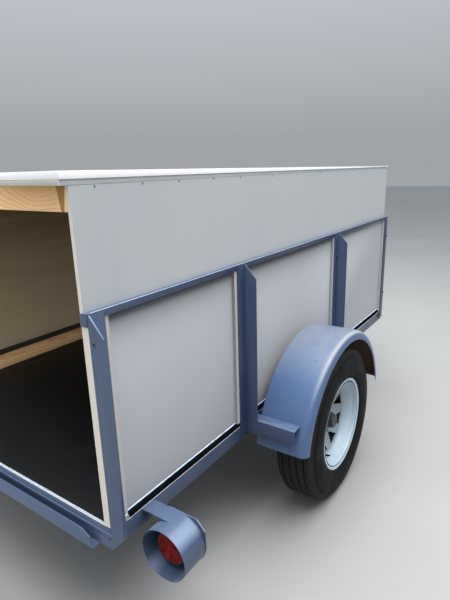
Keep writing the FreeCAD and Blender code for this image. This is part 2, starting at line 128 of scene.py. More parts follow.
def speckle(tree, scale, detail=4, stretch=(1, 1, 1), rough=0.55):
    made = addNode(tree, "ShaderNodeTexNoise", {"Scale": scale, "Detail": detail, "Roughness": rough})
    join(tree, objectCoords(tree, stretch), made.inputs["Vector"])
    return made.outputs["Fac"]


def spread(tree, value, low, high, outLow=0, outHigh=1):
    # clamps and rescales a value
    made = addNode(tree, "ShaderNodeMapRange", {"From Min": low, "From Max": high, "To Min": outLow,
                                                "To Max": outHigh}, clamp=True)
    join(tree, value, made.inputs["Value"])
    return made.outputs["Result"]


def blendColor(tree, amount, first, second):
    made = addNode(tree, "ShaderNodeMix", data_type="RGBA")
    for socket, value in (("A", first), ("B", second)):
        target = [s for s in made.inputs if s.name == socket and s.type == "RGBA"][0]
        if isinstance(value, tuple):
            target.default_value = value + (1,)
        else:
            join(tree, value, target)
    join(tree, amount, [s for s in made.inputs if s.name == "Factor" and s.type == "VALUE"][0])
    return [s for s in made.outputs if s.type == "RGBA"][0]


def tint(tree, color, value, low, high, amount, tone):
    # lays a tone over a color, none where the value is low and the full amount where it is high
    return blendColor(tree, spread(tree, value, low, high, 0, amount), color, tone)


def calc(tree, operation, first, second=None):
    made = addNode(tree, "ShaderNodeMath", operation=operation)
    for index, value in enumerate((first, second)):
        if value is None:
            continue
        if isinstance(value, (int, float)):
            made.inputs[index].default_value = value
        else:
            join(tree, value, made.inputs[index])
    return made.outputs[0]


def axisOf(tree, axis, kind="ShaderNodeTexCoord", output="Object"):
    parts = addNode(tree, "ShaderNodeSeparateXYZ")
    join(tree, addNode(tree, kind).outputs[output], parts.inputs[0])
    return parts.outputs[axis]


def facing(tree, axis):
    # how far a surface faces along one axis
    return axisOf(tree, axis, "ShaderNodeNewGeometry", "Normal")


def fromSide(tree, out):
    # place across the trailer, past the same distance out on either side
    return calc(tree, "SUBTRACT", calc(tree, "ABSOLUTE", axisOf(tree, "X")), out)


def reachFrom(tree, first, second):
    # straight distance from two offsets at right angles
    squares = [calc(tree, "MULTIPLY", value, value) for value in (first, second)]
    return calc(tree, "SQRT", calc(tree, "ADD", *squares))


def finishOff(tree, shader, color, roughness, layers):
    # layers are (height, strength, depth) and are stacked one on the next
    join(tree, color, shader.inputs["Base Color"])
    if roughness:
        join(tree, roughness, shader.inputs["Roughness"])
    relief = None
    for height, strength, depth in layers:
        bump = addNode(tree, "ShaderNodeBump", {"Strength": strength, "Distance": depth})
        join(tree, height, bump.inputs["Height"])
        if relief:
            join(tree, relief, bump.inputs["Normal"])
        relief = bump.outputs["Normal"]
    join(tree, relief, shader.inputs["Normal"])


# Finishes
# the pale tone laid on towards the rear end and on faces that look to the rear is painted light
steelLook = {"chip": (0.012, 0.011, 0.012), "paintedRearLight": (0.080, 0.116, 0.188), "paintedRearLightRun": (0.45, 0.06)}
# the dust tones stand for dust and a painted sheen on faces that look up; the roll tones are a painted
# highlight on edges that turn up and outwards
steelTone = {"base": (0.019, 0.034, 0.078), "light": (0.029, 0.048, 0.104), "dust": (0.11, 0.165, 0.28),
             "roll": (0.11, 0.165, 0.28)}
fenderTone = {"base": (0.056, 0.098, 0.194), "light": (0.068, 0.115, 0.225), "dust": (0.25, 0.262, 0.258),
              "roll": (0.36, 0.36, 0.345), "coat": 0.05, "specular": 0.25}
# the hoods' paint is a darker copy with more top tone: painted shade on their sides and painted light on
# their tops
hoodToneWithPaintedLight = {"base": (0.010, 0.020, 0.050), "light": (0.016, 0.029, 0.068), "dust": (0.105, 0.15, 0.245),
            "roll": (0.19, 0.24, 0.35)}


def makeSteelPaint(name, base, light, dust, roll, coat=0.1, specular=0.4):
    # satin blue-grey enamel, brushed on over hot-rolled angle, with painted light: lighter towards the rear
    # end and on faces that look to the rear, a painted sheen with the dust on faces that look up, and a
    # painted highlight on edges that turn up and outwards
    material, tree, shader = newFinish(name, 0.36, 0, coat, specular)
    shader.inputs["Coat Roughness"].default_value = 0.24
    patches = spread(tree, speckle(tree, 3, 4), 0.35, 0.7, 0, 0.7)
    fine = speckle(tree, 140, 3)
    streaks = speckle(tree, 60, 4, (1, 0.08, 1))
    color = blendColor(tree, patches, base, light)
    color = tint(tree, color, streaks, 0.45, 0.8, 0.35, light)
    # painted light: lighter towards the rear end, where the rear post is lit more
    paintedRearLightRun = (rearFace + run for run in steelLook["paintedRearLightRun"])
    color = tint(tree, color, axisOf(tree, "Y"), *paintedRearLightRun, 0.6, steelLook["paintedRearLight"])
    up = facing(tree, "Z")
    rolled = calc(tree, "MULTIPLY", spread(tree, calc(tree, "ABSOLUTE", facing(tree, "X")), 0.25, 0.6),
                  spread(tree, up, 0.48, 0.74))
    # dust and painted sheen: faces that look up take the pale dust tone, for dust and for the sky's
    # reflection on them
    dustAndSheenOnTop = calc(tree, "MULTIPLY", spread(tree, up, 0.72, 1),
                 spread(tree, speckle(tree, 22, 6), 0.35, 0.75, 0.4, 0.6))
    color = blendColor(tree, dustAndSheenOnTop, color, dust)
    # painted highlight: faces that turn up and outwards, such as rolled lips and bevels, take the roll tone
    color = blendColor(tree, calc(tree, "MULTIPLY", rolled, 0.85), color, roll)
    # painted light: faces that look to the rear are lighter
    color = tint(tree, color, facing(tree, "Y"), -0.6, -0.95, 0.26, steelLook["paintedRearLight"])
    color = tint(tree, color, speckle(tree, 75, 2, rough=0.4), 0.765, 0.785, 0.7, steelLook["chip"])
    rough = spread(tree, calc(tree, "ADD", fine, patches), 0.4, 1.3, 0.30, 0.42)
    finishOff(tree, shader, color, rough, [(speckle(tree, 25, 3), 0.15, 0.0010), (fine, 0.08, 0.0005)])
    return material


# the lower tones are a darker copy of the upper ones, painted shade; the foot and front tones are painted
# light
panelLook = {"upper": ((0.390, 0.408, 0.420), (0.414, 0.427, 0.434)),
             "lower": ((0.234, 0.242, 0.259), (0.249, 0.258, 0.269)), "front": (0.380, 0.394, 0.413),
             "foot": (0.385, 0.398, 0.428), "footLightTall": 0.45, "frontLightRun": (1.2, 2.1),
             "runs": (0.16, 0.17, 0.185), "specks": (0.22, 0.2, 0.18)}


def makePanelPaint(name, base, warm, front):
    # rolled-on grey wall paint over sanded plywood, with painted light lighter at the wall's foot and towards
    # the front
    material, tree, shader = newFinish(name, 0.55)
    clouds = spread(tree, speckle(tree, 2.2, 4), 0.35, 0.7)
    color = blendColor(tree, clouds, base, warm)
    # painted light: lighter towards the foot of the wall
    color = tint(tree, color, axisOf(tree, "Z"), floorTop + panelLook["footLightTall"], floorTop, 0.5,
                 panelLook["foot"])
    # painted light: lighter towards the front end
    frontLightRun = (rearFace + run for run in panelLook["frontLightRun"])
    color = tint(tree, color, axisOf(tree, "Y"), *frontLightRun, 0.9, front)
    runs = speckle(tree, 26, 5, (1, 1, 0.06))
    color = tint(tree, color, runs, 0.5, 0.78, 0.06, panelLook["runs"])
    rolled = speckle(tree, 420, 2)
    grain = speckle(tree, 60, 4, (1, 0.05, 1))
    color = tint(tree, color, speckle(tree, 160, 1), 0.77, 0.79, 0.5, panelLook["specks"])
    finishOff(tree, shader, color, spread(tree, clouds, 0, 1, 0.48, 0.6),
              [(grain, 0.04, 0.0008), (rolled, 0.10, 0.0005)])
    return material


plyLook = {"layer": 2.4, "wander": 0.35, "cream": (0.74, 0.71, 0.64), "dark": (0.50, 0.44, 0.35),
           "fibre": (0.80, 0.78, 0.72)}


def makePlyEdge():
    # cut edge of plywood: plies stacked across the wall
    material, tree, shader = newFinish("plyEdge", 0.75)
    wander = spread(tree, speckle(tree, 9, 3), 0.2, 0.8, -plyLook["wander"] * mm, plyLook["wander"] * mm)
    across = calc(tree, "ADD", axisOf(tree, "X"), wander)
    wave = calc(tree, "SINE", calc(tree, "MULTIPLY", across, 2 * math.pi / (plyLook["layer"] * mm)))
    plies = spread(tree, wave, -0.2, 0.5)
    fibre = speckle(tree, 300, 3)
    color = blendColor(tree, plies, plyLook["dark"], plyLook["cream"])
    color = tint(tree, color, fibre, 0.35, 0.7, 0.5, plyLook["fibre"])
    finishOff(tree, shader, color, None, [(fibre, 0.3, 0.0006), (plies, 0.25, 0.0004)])
    return material


pineLook = {"early": (0.88, 0.59, 0.31), "late": (0.54, 0.28, 0.11), "warm": (0.78, 0.41, 0.16)}


def makePine(name, along, start, runs, heartUp, shade=1, stretch=3.4, pitch=0.0085):
    # growth rings cut on the slant: ovals drawn out along the board about each heart
    material, tree, shader = newFinish(name, 0.62, specular=0.25)
    drift = calc(tree, "MULTIPLY", calc(tree, "SUBTRACT", speckle(tree, 2.2, 3), 0.5), 0.09)
    rise = calc(tree, "SUBTRACT", axisOf(tree, "Z"), heartUp)
    nearest = None
    for run in runs:
        lengthwise = calc(tree, "SUBTRACT", axisOf(tree, along), start + run)
        reach = reachFrom(tree, calc(tree, "DIVIDE", lengthwise, stretch), rise)
        nearest = calc(tree, "MINIMUM", nearest, reach) if nearest else reach
    rings = calc(tree, "SINE", calc(tree, "MULTIPLY", calc(tree, "ADD", nearest, drift), 2 * math.pi / pitch))
    early, late, warm = (tuple(v * shade for v in pineLook[key]) for key in ("early", "late", "warm"))
    color = tint(tree, early, rings, 0.35, 1, 0.55, late)
    color = tint(tree, color, speckle(tree, 4, 3), 0.4, 0.75, 0.45, warm)
    color = tint(tree, color, nearest, 0.05, 0.012, 0.75, warm)
    fibre = speckle(tree, 1, 3, tuple(6 if axis == along else 260 for axis in "XYZ"))
    color = tint(tree, color, fibre, 0.4, 0.75, 0.3, early)
    finishOff(tree, shader, color, spread(tree, fibre, 0.3, 0.7, 0.55, 0.72), [(fibre, 0.25, 0.0005)])
    return material


def makeEndGrain():
    # sawn end of the lumber: pale wood with a dark resinous wedge narrowing downwards
    material, tree, shader = newFinish("endGrain", 0.7)
    low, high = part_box("lumber_right")
    down = spread(tree, axisOf(tree, "Z"), low[2], high[2])
    aside = calc(tree, "ABSOLUTE", fromSide(tree, (low[0] + high[0]) / 2))
    rough = calc(tree, "MULTIPLY", calc(tree, "SUBTRACT", speckle(tree, 45, 3), 0.5), 0.010)
    edge = calc(tree, "SUBTRACT", calc(tree, "ADD", calc(tree, "MULTIPLY", down, 0.013), 0.0045), aside)
    inWedge = spread(tree, calc(tree, "ADD", edge, rough), -0.001, 0.0015)
    color = blendColor(tree, inWedge, pineLook["early"], (0.38, 0.17, 0.045))
    fibre = speckle(tree, 160, 3, (1, 1, 0.15))
    color = tint(tree, color, fibre, 0.4, 0.7, 0.4, pineLook["late"])
    finishOff(tree, shader, color, None, [(fibre, 0.3, 0.0006)])
    return material


barePlyLook = {"early": (0.22, 0.148, 0.067), "late": (0.17, 0.112, 0.046), "fibre": (0.33, 0.245, 0.13),
               "stain": (0.24, 0.17, 0.09), "pale": (0.72, 0.60, 0.41), "lowLightTall": 0.75}


def makeBarePly():
    # unpainted inner face of the walls, brown with long flat grain, with painted light making it paler low
    # down
    material, tree, shader = newFinish("barePly", 0.7)
    rings = addNode(tree, "ShaderNodeTexWave", {"Scale": 0.9, "Distortion": 14, "Detail": 4,
                                                "Detail Scale": 0.8})
    join(tree, objectCoords(tree, (1, 0.9, 11)), rings.inputs["Vector"])
    fibre = speckle(tree, 1, 4, (150, 8, 260))
    color = tint(tree, barePlyLook["early"], rings.outputs["Fac"], 0.2, 1, 1, barePlyLook["late"])
    color = tint(tree, color, fibre, 0.4, 0.8, 0.3, barePlyLook["fibre"])
    color = tint(tree, color, speckle(tree, 3, 5), 0.5, 0.75, 0.35, barePlyLook["stain"])
    # painted light: paler towards the floor
    color = tint(tree, color, axisOf(tree, "Z"), floorTop + barePlyLook["lowLightTall"], floorTop, 0.85,
                 barePlyLook["pale"])
    finishOff(tree, shader, color, None, [(fibre, 0.2, 0.0006)])
    return material


deckLook = {"base": (0.0048, 0.0053, 0.006), "scuff": (0.026, 0.027, 0.029), "dust": (0.0105, 0.0115, 0.0125),
            "grit": (0.17, 0.17, 0.165)}


def makeFloorPaint():
    # black deck paint, scuffed grey where loads have slid
    material, tree, shader = newFinish("floorPaint", 0.5, specular=0.22)
    scuffs = spread(tree, speckle(tree, 8, 8, (3, 0.6, 1), 0.65), 0.55, 0.75, 0, 0.15)
    color = blendColor(tree, scuffs, deckLook["base"], deckLook["scuff"])
    color = tint(tree, color, speckle(tree, 2.5, 6), 0.4, 0.8, 0.3, deckLook["dust"])
    color = tint(tree, color, speckle(tree, 190, 2), 0.7, 0.74, 0.45, deckLook["grit"])
    fine = speckle(tree, 240, 2)
    finishOff(tree, shader, color, spread(tree, scuffs, 0, 0.15, 0.55, 0.7),
              [(fine, 0.18, 0.0007), (speckle(tree, 40, 4, (1, 0.06, 1)), 0.15, 0.0008)])
    return material


def makeRoofPaint(name, base, marked, top):
    # pale exterior paint with faint water marks, and painted shade: a darker tone on the faces that look up,
    # where the studio's light falls straight on them
    material, tree, shader = newFinish(name, 0.5)
    marks = spread(tree, speckle(tree, 3, 6), 0.45, 0.78, 0, 0.5)
    color = blendColor(tree, marks, base, marked)
    color = tint(tree, color, facing(tree, "Z"), 0.93, 0.99, 0.95, top)
    fine = speckle(tree, 300, 2)
    grain = speckle(tree, 50, 4, (1, 0.05, 1))
    finishOff(tree, shader, color, spread(tree, marks, 0, 0.5, 0.42, 0.6),
              [(grain, 0.1, 0.0008), (fine, 0.1, 0.0005)])
    return material


def wheelReach(tree):
    # distance from the wheel's axis
    return reachFrom(tree, calc(tree, "SUBTRACT", axisOf(tree, "Y"), wheelLook["axle"]),
                     calc(tree, "SUBTRACT", axisOf(tree, "Z"), wheelLook["up"]))


rubberLook = {"base": (0.0035, 0.0038, 0.0048), "worn": (0.0080, 0.0079, 0.0082),
              "grit": (0.06, 0.052, 0.043), "dust": (0.034, 0.031, 0.030), "tread": (0.021, 0.020, 0.019)}


def makeRubber():
    # black rubber, browned by road dust on the shoulders and in the grooves
    material, tree, shader = newFinish("tyreRubber", 0.78, specular=0.12)
    dustMap = speckle(tree, 14, 6)
    worn = spread(tree, dustMap, 0.35, 0.75, 0.1, 0.6)
    color = blendColor(tree, worn, rubberLook["base"], rubberLook["worn"])
    color = tint(tree, color, speckle(tree, 220, 2), 0.64, 0.72, 0.14, rubberLook["grit"])
    reach = wheelReach(tree)
    aside = calc(tree, "ABSOLUTE", fromSide(tree, wheelLook["middle"]))
    shoulder = calc(tree, "MULTIPLY", spread(tree, reach, 0.312, 0.328), spread(tree, aside, 0.052, 0.068))
    dusty = calc(tree, "MULTIPLY", shoulder, spread(tree, dustMap, 0.3, 0.65, 0.25, 0.8))
    color = blendColor(tree, dusty, color, rubberLook["dust"])
    onTread = calc(tree, "MULTIPLY", spread(tree, reach, 0.325, 0.335), spread(tree, aside, 0.066, 0.058))
    color = blendColor(tree, onTread, color, rubberLook["tread"])
    fine = speckle(tree, 260, 3)
    finishOff(tree, shader, color, spread(tree, dustMap, 0.3, 0.7, 0.55, 0.8), [(fine, 0.2, 0.0005)])
    return material


wheelTone = {"base": (0.40, 0.495, 0.56), "film": (0.30, 0.37, 0.42), "disc": (0.205, 0.252, 0.290),
             "discEdge": (0.170, 0.158), "rust": (0.14, 0.09, 0.06)}


def makeWheelPaint():
    # white enamel, a little blue, darker grey on the disc, with small rust specks
    material, tree, shader = newFinish("wheelPaint", 0.42)
    film = spread(tree, speckle(tree, 18, 6), 0.42, 0.78, 0, 0.5)
    color = blendColor(tree, film, wheelTone["base"], wheelTone["film"])
    color = tint(tree, color, wheelReach(tree), *wheelTone["discEdge"], 0.9, wheelTone["disc"])
    color = tint(tree, color, speckle(tree, 95, 3), 0.72, 0.76, 0.7, wheelTone["rust"])
    fine = speckle(tree, 200, 2)
    finishOff(tree, shader, color, spread(tree, film, 0, 0.5, 0.4, 0.58), [(fine, 0.06, 0.0004)])
    return material


def makeMetal(name, base, worn, roughness, metallic, scale=30, rust=None, specular=0.5):
    # bare, plated or painted metal and rubber, worn in patches and rusty where a rust tone is given
    material, tree, shader = newFinish(name, roughness, metallic, specular=specular)
    wear = spread(tree, speckle(tree, scale, 6), 0.4, 0.75)
    color = blendColor(tree, wear, base, worn)
    if rust:
        color = tint(tree, color, speckle(tree, scale * 0.6, 8), 0.5, 0.68, 0.9, rust)
    fine = speckle(tree, 240, 3)
    finishOff(tree, shader, color, spread(tree, wear, 0, 1, roughness - 0.08, roughness + 0.15),
              [(fine, 0.15, 0.0004)])
    return material


lensTone = {"middle": (0.36, 0.004, 0.007), "edge": (0.22, 0.003, 0.005), "ridge": (0.030, 0.001, 0.002),
            "blotch": (0.040, 0.001, 0.002)}


def makeLens():
    # red moulded plastic with round ridges about each lamp's centre
    material, tree, shader = newFinish("lensRed", 0.3, specular=0.12)
    rise = calc(tree, "SUBTRACT", axisOf(tree, "Z"), lampLook["z"])
    reach = reachFrom(tree, fromSide(tree, lampLook["x"]), rise)
    ridges = calc(tree, "SINE", calc(tree, "MULTIPLY", reach, 2 * math.pi / (lampLook["ridge"] * mm)))
    color = tint(tree, lensTone["middle"], reach, 0, lampLook["lens"], 1, lensTone["edge"])
    color = tint(tree, color, ridges, -0.4, 0.8, 0.75, lensTone["ridge"])
    color = tint(tree, color, speckle(tree, 85, 3, rough=0.7), 0.47, 0.62, 0.75, lensTone["blotch"])
    finishOff(tree, shader, color, spread(tree, ridges, -1, 1, 0.12, 0.28), [(ridges, 0.35, 0.0008)])
    return material


tyreMiddle = [(low + high) / 2 for low, high in zip(*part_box("tyre_right"))]
wheelLook = dict(zip(("middle", "axle", "up"), tyreMiddle))
lensLow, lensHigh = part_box("lamp_lens_right")
lampLook = {"x": (lensLow[0] + lensHigh[0]) / 2, "z": (lensLow[2] + lensHigh[2]) / 2,
            "lens": (lensHigh[2] - lensLow[2]) / 2, "ridge": 7.5, "rings": 9, "steps": 72}

steelPaint = makeSteelPaint("steelPaint", **steelTone)
fenderPaint = makeSteelPaint("fenderPaint", **fenderTone)
hoodPaintWithPaintedLight = makeSteelPaint("hoodPaintWithPaintedLight", **hoodToneWithPaintedLight)
upperPaint = makePanelPaint("upperPanelPaint", *panelLook["upper"], panelLook["upper"][1])
# painted shade: the lower walls' paint is a darker copy of the upper walls'
lowerPaintWithPaintedShade = makePanelPaint("lowerPanelPaintWithPaintedShade", *panelLook["lower"], panelLook["front"])
battenPaint = makePanelPaint("battenPaint", (0.44, 0.415, 0.39), (0.47, 0.445, 0.42), (0.44, 0.42, 0.40))
plyEdge = makePlyEdge()
barePly = makeBarePly()
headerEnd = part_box("header_rear")[1]
headerPine = makePine("headerPine", "X", headerEnd[0], (-0.075, -0.62, -1.15), headerEnd[2] + 0.002)
lumberPine = makePine("lumberPine", "Y", rearFace, (0.3, 1.3, 2.2), floorTop + 0.05, 0.85, 9)
runnerPine = makePine("runnerPine", "Y", rearFace, (0.5, 1.7), floorTop - 0.02, 1, 12, 0.014)
endGrain = makeEndGrain()
floorPaint = makeFloorPaint()
# the third tone is painted shade on the roof's top
roofPaint = makeRoofPaint("roofPaint", (0.85, 0.84, 0.84), (0.72, 0.715, 0.715), (0.40, 0.40, 0.395))
roofEdge = makeRoofPaint("roofEdge", (0.44, 0.42, 0.385), (0.37, 0.355, 0.32), (0.40, 0.40, 0.395))
tyreRubber = makeRubber()
wheelPaint = makeWheelPaint()
hubMetal = makeMetal("hubMetal", (0.036, 0.038, 0.041), (0.066, 0.066, 0.066), 0.48, 0.45)
# painted shade: near black for the back of the rims and the walls of their windows
wheelInsideShade = makeMetal("wheelInsideShade", (0.005, 0.005, 0.0055), (0.009, 0.008, 0.0075), 0.7, 0)
zincMetal = makeMetal("zincMetal", (0.36, 0.365, 0.37), (0.22, 0.225, 0.23), 0.42, 0.8)
gearPaint = makeMetal("runningGearPaint", (0.022, 0.022, 0.023), (0.05, 0.045, 0.04), 0.5, 0.1,
                      rust=(0.10, 0.05, 0.028))
rustySteel = makeMetal("rustySteel", (0.075, 0.045, 0.035), (0.12, 0.07, 0.05), 0.75, 0.2, 24,
                       rust=(0.05, 0.03, 0.025))
lensRed = makeLens()
sealant = makeRoofPaint("sealant", (0.56, 0.69, 0.80), (0.48, 0.57, 0.64), (0.56, 0.69, 0.80))
# pale strips: a painted highlight along the top rails, and worn paint on the sill
wornEdgeAndHighlight = makeRoofPaint("wornEdgeAndHighlight", (0.60, 0.66, 0.72), (0.46, 0.52, 0.59), (0.60, 0.66, 0.72))
nutMetal = makeMetal("nutMetal", (0.45, 0.44, 0.42), (0.28, 0.24, 0.20), 0.42, 0.8, 60,
                     rust=(0.16, 0.08, 0.045))
# painted shade: dark grey for the wall screws, which sit in recesses
screwMetalShaded = makeMetal("screwMetalShaded", (0.22, 0.217, 0.215), (0.14, 0.135, 0.13), 0.5, 0.3, 90)
edgeBlack = makeMetal("edgeBlack", (0.003, 0.0045, 0.0065), (0.006, 0.008, 0.010), 0.8, 0, specular=0)
# near black for the lens rims, and painted shade in the post holes, the screw recesses and the roof's joint
darkRubberAndShade = makeMetal("darkRubberAndShade", (0.012, 0.012, 0.012), (0.03, 0.03, 0.03), 0.7, 0)
print("finishes made")


# Dressed copies: each welded or sawn piece keeps its solid's shape with softened edges
def softenEdges(bm, edges, width):
    bmesh.ops.bevel(bm, geom=edges, offset=width, segments=2, profile=0.5, affect="EDGES", clamp_overlap=True)


def softenedCopy(name, width):
    source = nodes[name].data
    bm = bmesh.new()
    bm.from_mesh(source)
    bmesh.ops.remove_doubles(bm, verts=bm.verts, dist=1e-5)
    bmesh.ops.dissolve_limit(bm, angle_limit=math.radians(1), verts=bm.verts, edges=bm.edges)
    if width:
        crisp = [e for e in bm.edges if len(e.link_faces) == 2 and e.calc_face_angle() > math.radians(35)]
        softenEdges(bm, crisp, width)
    return bm


def dress(name, material, width, pick=None, extra=()):
    # pick says which of the materials a face has, by its centre and normal
    bm = softenedCopy(name, width)
    if pick:
        for face in bm.faces:
            face.material_index = pick(face.calc_center_median(), face.normal)
    standIn(name, bm, [material, *extra])


edgeWidth = 1.2 * mm
thinEdge = 0.5 * mm
softEdge = 0.8 * mm
steelNodes = [name for name in nodes
              if slotByNode[name] == "frame_paint" and not name.startswith(("fender", "lamp_hood"))]
postHole = {"x": 0.817, "z": 1.057, "reach": 8.5 * mm, "deep": 6 * mm}


def holeShadeFinish(centre, normal):
    # the walls of the hole near the top of a rear post are dark: painted shade inside the hole
    near = math.hypot(abs(centre.x) - postHole["x"], centre.z - postHole["z"]) < postHole["reach"]
    return 1 if near and abs(normal.y) < 0.5 and centre.y < rearFace + postHole["deep"] else 0


def rearFinish(centre, normal):
    # faces that look to the rear have the second material
    return 1 if normal.y < -0.9 else 0


for name in steelNodes:
    width = thinEdge if name.startswith("rail_top") else edgeWidth
    if name.startswith("post_rear"):
        dress(name, steelPaint, width, holeShadeFinish, (darkRubberAndShade,))
    else:
        dress(name, steelPaint, width)

for side, way in sides.items():
    def wallFinish(centre, normal, way=way):
        # 1 is the sawn rear edge, 2 the inner face and 3 the outer face of the battens
        if normal.y < -0.9 and abs(centre.y - wallRear) < 0.003:
            return 1
        if normal.x * way < -0.9:
            return 2
        if normal.x * way > 0.9 and centre.x * way > postFace - 6 * mm:
            return 3
        return 0
    dress("panel_lower_" + side, lowerPaintWithPaintedShade, 0, wallFinish, (plyEdge, barePly, battenPaint))
    dress("panel_upper_" + side, upperPaint, 0, wallFinish, (plyEdge, barePly))
    dress("lumber_" + side, lumberPine, 1.5 * mm, rearFinish, (endGrain,))
for name in ("panel_lower_front", "panel_upper_front"):
    dress(name, lowerPaintWithPaintedShade, 0, rearFinish, (barePly,))
dress("header_rear", headerPine, 1.5 * mm)
dress("floor_runner", runnerPine, 2 * mm)
dress("floor", floorPaint, softEdge, lambda centre, normal: 1 if abs(normal.x) > 0.9 else 0, (edgeBlack,))
for name in nodes:
    if slotByNode[name] == "zinc_steel":
        dress(name, zincMetal, softEdge)
    if slotByNode[name] == "running_gear":
        dress(name, gearPaint, softEdge)
print("solids dressed")


def spot(way, out, ahead, up):
    # a place given from the side plane, the rear post face and the floor's top, in millimetres
    return Vector((way * (postFace + out * mm), rearFace + ahead * mm, floorTop + up * mm))


def addBox(bm, first, second, finish=0):
    low, high = ([pick(a, b) for a, b in zip(first, second)] for pick in (min, max))
    made = bmesh.ops.create_cube(bm, size=1)["verts"]
    for vert in made:
        vert.co = Vector([(low[i] + high[i]) / 2 + vert.co[i] * (high[i] - low[i]) for i in range(3)])
    for face in {f for vert in made for f in vert.link_faces}:
        face.material_index = finish


def turnedPoint(axis, centre, along, radius, angle):
    a, b = radius * math.cos(angle), radius * math.sin(angle)
    offset = {"X": (along, a, b), "Y": (a, along, b), "Z": (a, b, along)}[axis]
    return Vector(centre) + Vector(offset)


def joinRings(bm, here, after):
    # faces between two rings of corners
    corners = list(zip(here, after))
    return [bm.faces.new((first[0], other[0], other[1], first[1]))
            for first, other in zip(corners, corners[1:] + corners[:1])]


def lathe(profile, centre, axis, steps, span=(0, 360), shape=None):
    # turns a closed profile of (along, radius) points about an axis; shape may change a point by its step
    bm = bmesh.new()
    whole = span[1] - span[0] >= 360
    rings = []
    for step in range(steps if whole else steps + 1):
        angle = math.radians(span[0] + (span[1] - span[0]) * step / steps)
        points = [shape(*point, step) for point in profile] if shape else profile
        rings.append([bm.verts.new(turnedPoint(axis, centre, *point, angle)) for point in points])
    for here, after in zip(rings, rings[1:] + rings[:1] if whole else rings[1:]):
        joinRings(bm, here, after)
    if not whole:
        bm.faces.new(rings[0])
        bm.faces.new(rings[-1][::-1])
    bmesh.ops.remove_doubles(bm, verts=bm.verts, dist=1e-6)
    bmesh.ops.recalc_face_normals(bm, faces=bm.faces)
    return bm


def addPlug(bm, at, direction, radius, tall, sideCount=16, crown=0.8, finish=0):
    # bolt head, nut or pin, sized in millimetres: a short prism with a chamfered outer end
    radius, tall = radius * mm, tall * mm
    turn = Vector(direction).to_track_quat("Z", "Y").to_matrix().to_4x4()
    for low, high, lowRadius, highRadius in ((0, 0.7, radius, radius), (0.7, 1, radius, radius * crown)):
        lift = Matrix.Translation(Vector(at) + Vector(direction) * tall * (low + high) / 2)
        made = bmesh.ops.create_cone(bm, cap_ends=True, segments=sideCount, radius1=lowRadius,
                                     radius2=highRadius, depth=tall * (high - low),
                                     matrix=lift @ turn)["verts"]
        for face in {f for vert in made for f in vert.link_faces}:
            face.material_index = finish


def addBead(bm, way, first, last, radius, ripple=0.25, pitch=6, finish=0):
    # laid bead with slightly uneven thickness between two places, all in millimetres
    start = spot(way, *first)
    run = spot(way, *last) - start
    turn = run.to_track_quat("Z", "Y").to_matrix()
    count = max(3, int(run.length / (pitch * mm)))
    rings = []
    for step in range(count + 1):
        share = step / count
        middle = start + run * share
        wide = radius * mm * (1 + ripple * noise.noise(middle * 140))
        if step in (0, count):
            wide *= 0.4
        rings.append([bm.verts.new(middle + turn @ Vector((wide * math.cos(a), wide * math.sin(a), 0)))
                      for a in (math.tau * corner / 8 for corner in range(8))])
    faces = [face for here, after in zip(rings, rings[1:]) for face in joinRings(bm, here, after)]
    faces += [bm.faces.new(rings[0][::-1]), bm.faces.new(rings[-1])]
    for face in faces:
        face.material_index = finish


def addPrism(bm, near, far, finish=0):
    # closed block between two rings of corners
    faces = [bm.faces.new(near), bm.faces.new(far[::-1])] + joinRings(bm, near, far)
    for face in faces:
        face.material_index = finish
    return faces


def arcPoints(centre, radius, start, end, count):
    # points round a corner of a profile
    angles = [math.radians(start + (end - start) * i / count) for i in range(count + 1)]
    return [(centre[0] + radius * math.cos(a), centre[1] + radius * math.sin(a)) for a in angles]


# Wheels: profiles are (outboard of the wheel's middle plane, radius) in millimetres
tyreLook = {"wall": [(75.5, 190.5), (75.5, 208.8), (77.5, 211.5), (80.5, 215), (84.5, 222), (86.2, 224),
                     (85.8, 226.5), (88, 234), (90.3, 245), (91.6, 258), (91.6, 262), (92, 263.5),
                     (92, 268), (91.5, 269.5), (91.4, 280), (90, 292), (87.4, 303), (87.8, 305),
                     (86.8, 307.5), (85.2, 308.5), (81.6, 317), (77.6, 325), (73, 332.5), (68.6, 338),
                     (65, 340.6), (62.5, 341.2)],
            "crown": 342, "crownHalf": 62, "crownDrop": 0.9, "grooves": (16, 47), "grooveHalf": 4.2,
            "grooveDeep": 7.5, "grooveFoot": 0.62, "grooveEdge": 0.8, "steps": 240, "notchEvery": 4,
            "notchDeep": 2.6, "notchRun": (62, 79), "notchFrom": 322}


def treadProfile():
    # crown of the tread from its outer edge to the middle, with the round grooves let in
    points = []
    wide, deep, edge = (tyreLook["groove" + key] for key in ("Half", "Deep", "Edge"))
    foot = wide * tyreLook["grooveFoot"]
    half = [(wide + edge, 0), (wide, -edge), (foot, -deep)]
    section = half + [(-x, y) for x, y in half[::-1]]
    for groove in sorted(tyreLook["grooves"], reverse=True):
        crown = tyreLook["crown"] - tyreLook["crownDrop"] * (groove / tyreLook["crownHalf"]) ** 2
        points += [(groove + x, crown + y) for x, y in section]
    return points


def inMetres(profile, way=1):
    return [(x * mm * way, r * mm) for x, r in profile]


def wheelCentre(way):
    return (way * wheelLook["middle"], wheelLook["axle"], wheelLook["up"])


def makeTyre(side, way):
    half = tyreLook["wall"] + treadProfile()
    profile = half + [(-x, r) for x, r in half[::-1]]

    def notched(along, radius, step):
        # small cuts across the shoulders of the tread
        start, end = tyreLook["notchRun"]
        onShoulder = start < abs(along) / mm < end and radius > tyreLook["notchFrom"] * mm
        if onShoulder and step % tyreLook["notchEvery"] == 0:
            radius -= tyreLook["notchDeep"] * mm
        return along, radius

    bm = lathe(inMetres(profile), wheelCentre(way), "X", tyreLook["steps"], shape=notched)
    standIn("tyre_" + side, bm, [tyreRubber], 40)


